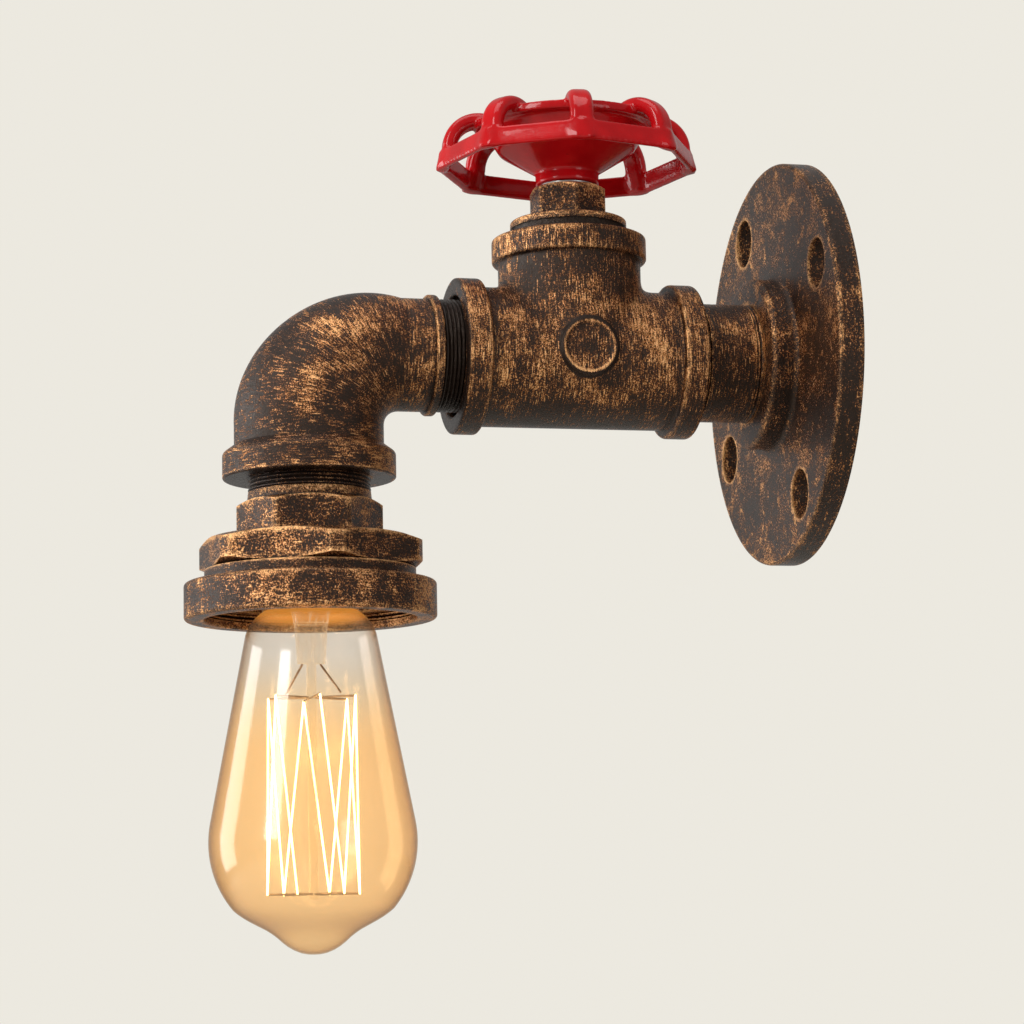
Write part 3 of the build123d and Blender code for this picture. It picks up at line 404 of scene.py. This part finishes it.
def soften(piece, rounds, weight=None):
    """Smooths the whole piece, or as much of each point as weight says."""
    bpy.ops.object.select_all(action="DESELECT")
    piece.select_set(True)
    bpy.context.view_layer.objects.active = piece
    smooth = piece.modifiers.new("smooth", "SMOOTH")
    smooth.factor = 0.5
    smooth.iterations = rounds
    if weight:
        group = piece.vertex_groups.new(name="soft")
        for point in piece.data.vertices:
            share = weight(point.co)
            if share > 0.01:
                group.add([point.index], share, "REPLACE")
        smooth.vertex_group = group.name
    bpy.ops.object.modifier_apply(modifier=smooth.name)
    if weight:
        piece.vertex_groups.clear()
    bpy.ops.object.shade_smooth()


def take_place(piece, name, body, finish):
    """The new piece rides where the solid was and wears this finish."""
    piece.data.materials.clear()
    piece.data.materials.append(finish)
    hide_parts(name)
    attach(piece, body)


tee_middle = -0.0663
run_radius = 0.0196
neck_radius = 0.0202
swell_reach = 0.0062
swell_blend = 0.0045
boss_reach = 0.0078
boss_blend = 0.002
swell_floor = -0.006


def near_saddle(point):
    """How near a point of the tee is to the line where the neck meets the run."""
    if point.z < swell_floor:
        return 0.0
    off_run = abs(math.hypot(point.x, point.z) - run_radius)
    off_neck = abs(math.hypot(point.x, point.y - tee_middle) - neck_radius)
    away = math.hypot(off_run, off_neck)
    share = min(max((swell_reach - away) / swell_blend, 0.0), 1.0)
    boss = math.hypot(point.y - tee_middle, point.z)
    return share * min(max((boss - boss_reach) / boss_blend, 0.0), 1.0)


def tee_shade(nodes, place):
    """Nearly bare paint on the neck under its band, the run's belly, the mouths and the boss."""
    x = nodes.measure(place, "X")
    y = nodes.measure(place, "Y") - tee_middle
    z = nodes.measure(place, "Z")
    neck = nodes.step(z, 0.010, 0.019) * (1 - nodes.step(z, 0.0268, 0.0280))
    mouths = nodes.step(y.size(), 0.0338, 0.0342)
    out = (y * y + z * z) ** 0.5
    side = nodes.step(x.size(), 0.0155, 0.0165)
    disc = nodes.step(out, 0.0066, 0.0062) * 0.03
    rim = nodes.step(out, 0.0067, 0.0070) * nodes.step(out, 0.0075, 0.0072) * 0.16
    groove = nodes.step(out, 0.0074, 0.0078) * nodes.step(out, 0.0088, 0.0083) * 0.75
    belly = nodes.step(z, -0.0125, -0.019) * 0.20
    return neck * 0.10 + belly + mouths * 0.35 + side * (disc - rim + groove)


tee_grain = 0.00046
swell_rounds = 120
tee = cast_copy("tee_fitting", "tee", tee_grain)
soften(tee, swell_rounds, near_saddle)
soften(tee, 1)
tee_finish = bronze("tee_bronze", (260.0, 3000.0, 260.0), 0.0, 0.15, 1.3, shade=tee_shade)
take_place(tee, "tee_fitting", "fixture", tee_finish)

# ---------------------------------------------------------------- street elbow
# One casting: a male thread that screws into the tee, the bend, and a banded female mouth.
# The dry brush follows the bend, so its strokes fan out round the inside of the curve.

bend_reach = -0.1159
bend_level = -0.0208
bend_radius = 0.024


def round_the_bend(nodes, place):
    """Across the pipe, along the pipe and out from the bend's own centre."""
    x = nodes.measure(place, "X")
    y = nodes.measure(place, "Y")
    z = nodes.measure(place, "Z")
    out = bend_reach - y
    up = z - bend_level
    beyond = out.above()
    over = up.above()
    turn = x.maths("ARCTAN2", beyond, over)
    along = turn * bend_radius + (up * -1).above() - (out * -1).above()
    radius = (beyond * beyond + over * over) ** 0.5
    return nodes.add("ShaderNodeCombineXYZ", {}, {0: x, 1: along, 2: radius})


def elbow_shade(nodes, place):
    """The back of the bend and the thread stay dark."""
    y = nodes.measure(place, "Y")
    z = nodes.measure(place, "Z")
    inward = y - bend_reach
    upward = z - bend_level
    back = (inward * inward + upward * upward) ** 0.5
    thread = nodes.step(y, -0.1065, -0.1055)
    mouth = nodes.step(z, -0.0350, -0.0354)
    bead = nodes.step(y, -0.1082, -0.1076)
    return nodes.step(back, 0.028, 0.041) * 0.12 + thread * 0.9 + mouth * 0.35 + bead * 0.20


elbow_finish = bronze(
    "elbow_bronze", (260.0, 2700.0, 260.0), -0.01, 0.20, 1.3, round_the_bend, elbow_shade
)
dress("street_elbow", elbow_finish)

# ---------------------------------------------------------------- nipple, bushing and ring
# A hexagon nipple, a reducing bushing with a larger hexagon, and the round collar below it.
# Their flats keep the mould's coarse grain, so the brush left a mottled copper.


def thread_shade(nodes, place):
    """The nipple's thread in the elbow's mouth, and the groove above the ring, stay dark."""
    z = nodes.measure(place, "Z")
    groove = nodes.step(z, -0.0647, -0.0640) * (1 - nodes.step(z, -0.0612, -0.0604))
    return nodes.step(z, -0.0398, -0.0390) * 0.7 + groove * 0.22


lamp_finish = bronze("lamp_bronze", (330.0, 330.0, 2600.0), -0.04, 0.78, 1.9, shade=thread_shade)
dress("hex_nipple", lamp_finish)
dress("reducing_bushing", lamp_finish)
ring_finish = bronze("ring_bronze", (330.0, 330.0, 2600.0), -0.01, 0.72, 1.2)
dress("shade_ring", ring_finish)

# ---------------------------------------------------------------- bonnet
# The plug in the top of the tee: a thread, a collar and the hexagon that the spindle runs in.


def bonnet_shade(nodes, place):
    """Everything below the collar stays dark."""
    z = nodes.measure(place, "Z")
    return 0.5 - nodes.step(z, 0.0372, 0.0384) * 0.5


bonnet_finish = bronze("bonnet_bronze", (700.0, 700.0, 1400.0), -0.04, 0.6, 1.5, shade=bonnet_shade)
dress("tee_bonnet", bonnet_finish)

# ---------------------------------------------------------------- handwheel
# A cast wheel with eight arched arms, a deep bowl and an eight-sided rim, in gloss red enamel.
# The enamel has softened every edge. Its colour runs a little, and it has a few dark pits.

enamel = bpy.data.materials.new("red_enamel")
nodes = Nodes(enamel)
place = nodes.place()
runs = nodes.noise(place, 90.0, 3.0, 0.5)
skin = nodes.noise(place, 380.0, 2.0, 0.5)
pits = nodes.step(nodes.noise(place, 900.0, 2.0, 0.5), 0.70, 0.80)
colour = nodes.tint(nodes.step(runs, 0.35, 0.65), (0.36, 0.0025, 0.0045), (0.46, 0.0042, 0.0065))
colour = nodes.tint(pits * 0.6, colour, (0.10, 0.002, 0.003))
swell = nodes.add(
    "ShaderNodeBump", {}, {"Strength": 0.5, "Distance": 0.00012, "Height": skin - pits * 0.5}
)
nodes.end(
    nodes.add(
        "ShaderNodeBsdfPrincipled",
        {},
        {
            "Base Color": colour,
            "Roughness": 0.13 + skin * 0.10,
            "Specular IOR Level": 0.14,
            "Coat Weight": 0.28,
            "Coat Roughness": 0.04,
            "Normal": swell,
        },
    )
)


wheel_underside = 0.0501
foot_top = 0.0600
foot_inside = 0.0290
foot_blend = 0.002
underside_blend = 0.003


def near_arm_foot(point):
    """How near a point of the wheel is to the rim, where the arms flow into it."""
    out = math.hypot(point.x, point.y - tee_middle)
    low = min(max((foot_top - point.z) / foot_blend, 0.0), 1.0)
    outside = min(max((out - foot_inside) / foot_blend, 0.0), 1.0)
    return low * outside * min((point.z - wheel_underside) / underside_blend, 1.0)


wheel_grain = 0.00045
foot_rounds = 60
edge_rounds = 6
wheel = cast_copy("handwheel", "wheel", wheel_grain)
soften(wheel, foot_rounds, near_arm_foot)
soften(wheel, edge_rounds)
take_place(wheel, "handwheel", "handwheel", enamel)

# ---------------------------------------------------------------- spindle, washers and nut
# The turned steel spindle with its clip, washers and the small nut on top of the wheel.


def metal(name, colour, dull, roughness):
    """Plain worked metal: fine turning marks, and dull stains that take its shine."""
    turning = (900.0, 900.0, 5000.0)
    finish = bpy.data.materials.new(name)
    nodes = Nodes(finish)
    place = nodes.place()
    marks = nodes.noise(nodes.vector("MULTIPLY", place, turning), 1.0, 2.0, 0.6)
    stains = nodes.step(nodes.noise(place, 260.0, 4.0, 0.6), 0.42, 0.66)
    nodes.end(
        nodes.add(
            "ShaderNodeBsdfPrincipled",
            {},
            {
                "Base Color": nodes.tint(stains, colour, dull),
                "Roughness": roughness + stains * 0.18 + marks * 0.08,
                "Metallic": 1.0,
                "Normal": nodes.add(
                    "ShaderNodeBump", {}, {"Strength": 0.4, "Distance": 0.00004, "Height": marks}
                ),
            },
        )
    )
    return finish


steel = metal("spindle_steel", (0.42, 0.41, 0.39), (0.16, 0.14, 0.12), 0.30)
zinc = metal("zinc_plate", (0.62, 0.63, 0.62), (0.38, 0.37, 0.34), 0.28)
for name in ("valve_stem", "stem_clip"):
    dress(name, steel)
for name in ("stem_washer", "wheel_washer", "wheel_nut"):
    dress(name, zinc)

# ---------------------------------------------------------------- lampholder and its tube
# A slim black phenolic lampholder with brass contacts, hung on a zinc-plated M10 tube.

brass = metal("holder_brass", (0.74, 0.52, 0.22), (0.42, 0.27, 0.10), 0.26)
for name in ("socket_screw_shell", "socket_centre_contact", "lamp_tube_nut", "earth_lug"):
    dress(name, brass)
for name in ("lamp_tube", "lamp_tube_washer", "socket_terminal_screws"):
    dress(name, zinc)


peel_grain = 700.0


def plastic(name, colour, shade, roughness):
    """Moulded or drawn plastic: a faint flow in the colour and a fine orange peel."""
    finish = bpy.data.materials.new(name)
    nodes = Nodes(finish)
    place = nodes.place()
    flow = nodes.step(nodes.noise(place, 120.0, 3.0, 0.55), 0.35, 0.68)
    peel = nodes.noise(place, peel_grain, 2.0, 0.5)
    nodes.end(
        nodes.add(
            "ShaderNodeBsdfPrincipled",
            {},
            {
                "Base Color": nodes.tint(flow, colour, shade),
                "Roughness": roughness + peel * 0.14,
                "Normal": nodes.add(
                    "ShaderNodeBump", {}, {"Strength": 0.4, "Distance": 0.00005, "Height": peel}
                ),
            },
        )
    )
    return finish


phenolic = plastic("phenolic", (0.018, 0.015, 0.013), (0.030, 0.024, 0.020), 0.22)
dress("socket_body", phenolic)

# ---------------------------------------------------------------- terminal block and wires
# A three-pole block behind the wall face, and the three stiff insulated wires in the pipes.

block = plastic("block_nylon", (0.74, 0.73, 0.68), (0.62, 0.60, 0.54), 0.42)
dress("terminal_block", block)
dress("terminal_block_screws", brass)
live_cover = plastic("live_cover", (0.16, 0.066, 0.030), (0.11, 0.045, 0.021), 0.36)
dress("live_wire", live_cover)
neutral_cover = plastic("neutral_cover", (0.020, 0.095, 0.38), (0.015, 0.070, 0.29), 0.36)
dress("neutral_wire", neutral_cover)

# The earth wire is green with a yellow stripe along it.
stripe_place = 0.0003
earth_cover = bpy.data.materials.new("earth_cover")
nodes = Nodes(earth_cover)
place = nodes.place()
x = nodes.measure(place, "X")
stripe = nodes.step((x - stripe_place).size(), 0.0005, 0.0004)
peel = nodes.noise(place, peel_grain, 2.0, 0.5)
nodes.end(
    nodes.add(
        "ShaderNodeBsdfPrincipled",
        {},
        {
            "Base Color": nodes.tint(stripe, (0.055, 0.33, 0.050), (0.72, 0.62, 0.035)),
            "Roughness": 0.36 + peel * 0.14,
        },
    )
)
dress("earth_wire", earth_cover)

# ---------------------------------------------------------------- bulb glass
# A teardrop of thin amber glass, clearer at the neck, drawn out and sealed in a round nub below.
# The thin wall hardly bends what is behind it; it tints, mirrors at its edges, and glows a little.
# That glow, and the orange of its neck, are painted light from the filament.

lamp_middle = -0.1415
bulb_middle = -0.1345
bulb_width = 0.0282
glass_thickness = 0.0003
neck_width = 0.0117
shoulder_middle = (0.00722, -0.08158)
shoulder_width = 0.0111
neck_top = -0.0661
neck_foot = -0.0716
glass_sides = 128
nub = (
    (0.0203, -0.1537),
    (0.0187, -0.1548),
    (0.0168, -0.1559),
    (0.0148, -0.15695),
    (0.0128, -0.1580),
    (0.0111, -0.1591),
    (0.0097, -0.1602),
    (0.0085, -0.1613),
    (0.0071, -0.1624),
    (0.0054, -0.1634),
    (0.0034, -0.1642),
    (0.0016, -0.16455),
    (0.0005, -0.1646),
)


def bulb_outline():
    """The radius and the level of each ring of the bulb, from the neck down to the nub."""
    yield neck_width, neck_top
    yield neck_width, neck_foot
    for turn in range(58, 10, -6):
        lean = math.radians(turn)
        radius = shoulder_middle[0] + shoulder_width * math.cos(lean)
        yield radius, shoulder_middle[1] + shoulder_width * math.sin(lean)
    for turn in range(11, -41, -3):
        lean = math.radians(turn)
        yield bulb_width * math.cos(lean), bulb_middle + bulb_width * math.sin(lean)
    yield from nub


rings = list(bulb_outline())
bpy.ops.object.select_all(action="DESELECT")
bpy.ops.mesh.primitive_circle_add(
    vertices=glass_sides, radius=rings[0][0], location=(0.0, lamp_middle, rings[0][1])
)
envelope = bpy.context.object
envelope.name = "bulb_envelope_glass"
bpy.ops.object.mode_set(mode="EDIT")
bpy.ops.mesh.select_all(action="SELECT")
for (radius, level), (next_radius, next_level) in zip(rings, rings[1:]):
    bpy.ops.mesh.extrude_region_move(
        TRANSFORM_OT_translate={"value": (0.0, 0.0, next_level - level)}
    )
    bpy.ops.transform.resize(
        value=(next_radius / radius, next_radius / radius, 1.0),
        center_override=(0.0, lamp_middle, next_level),
    )
bpy.ops.mesh.merge(type="CENTER")
bpy.ops.mesh.select_all(action="SELECT")
bpy.ops.mesh.normals_make_consistent(inside=False)
bpy.ops.object.mode_set(mode="OBJECT")
bpy.ops.object.transform_apply(location=True, rotation=True, scale=True)
thicken = envelope.modifiers.new("wall", "SOLIDIFY")
thicken.thickness = glass_thickness
thicken.offset = -1.0
bpy.ops.object.modifier_apply(modifier=thicken.name)
bpy.ops.object.shade_smooth_by_angle(angle=math.radians(40.0))

glass = bpy.data.materials.new("amber_glass")
nodes = Nodes(glass)
place = nodes.place()
level = nodes.measure(place, "Z")
depth = nodes.step(level, -0.080, -0.112)
facing = nodes.add("ShaderNodeLayerWeight", {}, {"Blend": 0.5}, "Facing")
mottled = nodes.noise(place, 45.0, 2.0, 0.5) * 0.10
clear = nodes.add("ShaderNodeBsdfTransparent", {}, {0: (0.955, 0.940, 0.925, 1.0)})
amber = nodes.add("ShaderNodeBsdfTransparent", {}, {0: (0.950, 0.860, 0.728, 1.0)})
wall = nodes.add("ShaderNodeMixShader", {}, {0: depth, 1: clear, 2: amber})
dark = nodes.add("ShaderNodeBsdfTransparent", {}, {0: (0.62, 0.42, 0.24, 1.0)})
wall = nodes.add("ShaderNodeMixShader", {}, {0: facing**3.5 * 0.85, 1: wall, 2: dark})
# A faint haze on the glass that also emits: a painted glow standing in for the filament's light in
# the wall.
haze_and_painted_glow = nodes.add(
    "ShaderNodeBsdfPrincipled",
    {},
    {
        "Base Color": (0.88, 0.56, 0.22, 1.0),
        "Roughness": 0.5,
        "Specular IOR Level": 0.0,
        "Emission Color": (1.0, 0.70, 0.34, 1.0),
        "Emission Strength": 1.0,
    },
)
# Painted glow around the filament's level, strongest where the wall faces the camera.
painted_filament_glow = nodes.step(level, -0.088, -0.106) * (1 - nodes.step(level, -0.146, -0.160))
film_and_painted_glow = depth * 0.025 + mottled * 0.15 + painted_filament_glow * (1 - facing) * 0.045
wall = nodes.add("ShaderNodeMixShader", {}, {0: film_and_painted_glow, 1: wall, 2: haze_and_painted_glow})
mirror = nodes.add(
    "ShaderNodeBsdfPrincipled",
    {},
    {"Base Color": (1.0, 1.0, 1.0, 1.0), "Metallic": 1.0, "Roughness": 0.13},
)
sheen = facing**5.0 * 0.55 + 0.035
wall = nodes.add("ShaderNodeMixShader", {}, {0: sheen, 1: wall, 2: mirror})
# Orange cement in the neck whose emission is painted light from the filament, strongest on the lit
# neck.
cement_and_painted_glow = nodes.add(
    "ShaderNodeBsdfPrincipled",
    {},
    {
        "Base Color": (0.62, 0.30, 0.07, 1.0),
        "Roughness": 0.35,
        "Emission Color": (1.0, 0.42, 0.06, 1.0),
        "Emission Strength": 0.42,
    },
)
lit_neck = nodes.step(level, -0.0752, -0.0722) * 0.80
nodes.end(nodes.add("ShaderNodeMixShader", {}, {0: lit_neck, 1: wall, 2: cement_and_painted_glow}))
take_place(envelope, "bulb_glass", "bulb_envelope", glass)

# ---------------------------------------------------------------- stem of the bulb
# The clear pressed stem that is sealed into the neck and carries the leads and the centre rod.

stem = bpy.data.materials.new("stem_glass")
nodes = Nodes(stem)
place = nodes.place()
facing = nodes.add("ShaderNodeLayerWeight", {}, {"Blend": 0.5}, "Facing")
streaks = nodes.noise(nodes.vector("MULTIPLY", place, (700.0, 700.0, 90.0)), 1.0, 2.0, 0.5)
through = nodes.add("ShaderNodeBsdfTransparent", {}, {0: (0.93, 0.91, 0.87, 1.0)})
# The milky streaks of the stem also emit: a painted glow standing in for the filament's warm light
# on it.
milk_and_painted_glow = nodes.add(
    "ShaderNodeBsdfPrincipled",
    {},
    {
        "Base Color": (0.86, 0.80, 0.70, 1.0),
        "Roughness": 0.12,
        "Specular IOR Level": 0.8,
        "Emission Color": (1.0, 0.66, 0.34, 1.0),
        "Emission Strength": 0.45,
    },
)
nodes.end(
    nodes.add(
        "ShaderNodeMixShader",
        {},
        {0: facing**3.0 * 0.5 + nodes.step(streaks, 0.45, 0.75) * 0.3 + 0.06, 1: through, 2: milk_and_painted_glow},
    )
)
dress("bulb_stem", stem)

# ---------------------------------------------------------------- cap of the bulb
# The rolled screw shell, its black glass disc and the solder button.

nickel = metal("cap_nickel", (0.66, 0.62, 0.54), (0.44, 0.38, 0.30), 0.22)
dress("bulb_cap_shell", nickel)
cap_disc = plastic("cap_disc", (0.02, 0.02, 0.026), (0.03, 0.03, 0.036), 0.12)
dress("bulb_cap_insulator", cap_disc)
cap_solder = metal("cap_solder", (0.60, 0.60, 0.58), (0.40, 0.39, 0.37), 0.38)
dress("bulb_cap_contact", cap_solder)

# ---------------------------------------------------------------- filament and its wires
# A squirrel-cage filament strung up and down between two rings of fine hooks, at full heat.

hooks = metal("hook_wire", (0.42, 0.30, 0.20), (0.22, 0.14, 0.09), 0.35)
dress("bulb_support_wires", hooks)
dress("bulb_lead_wires", hooks)
glow = bpy.data.materials.new("filament_glow")
nodes = Nodes(glow)
place = nodes.place()
heat = nodes.step(nodes.noise(place, 60.0, 1.0, 0.5), 0.3, 0.7)
nodes.end(
    nodes.add(
        "ShaderNodeBsdfPrincipled",
        {},
        {
            "Base Color": (0.2, 0.15, 0.1, 1.0),
            "Roughness": 0.5,
            "Emission Color": nodes.tint(heat, (1.0, 0.66, 0.28), (1.0, 0.76, 0.40)),
            "Emission Strength": 9.0,
        },
    )
)
dress("bulb_filament", glow)
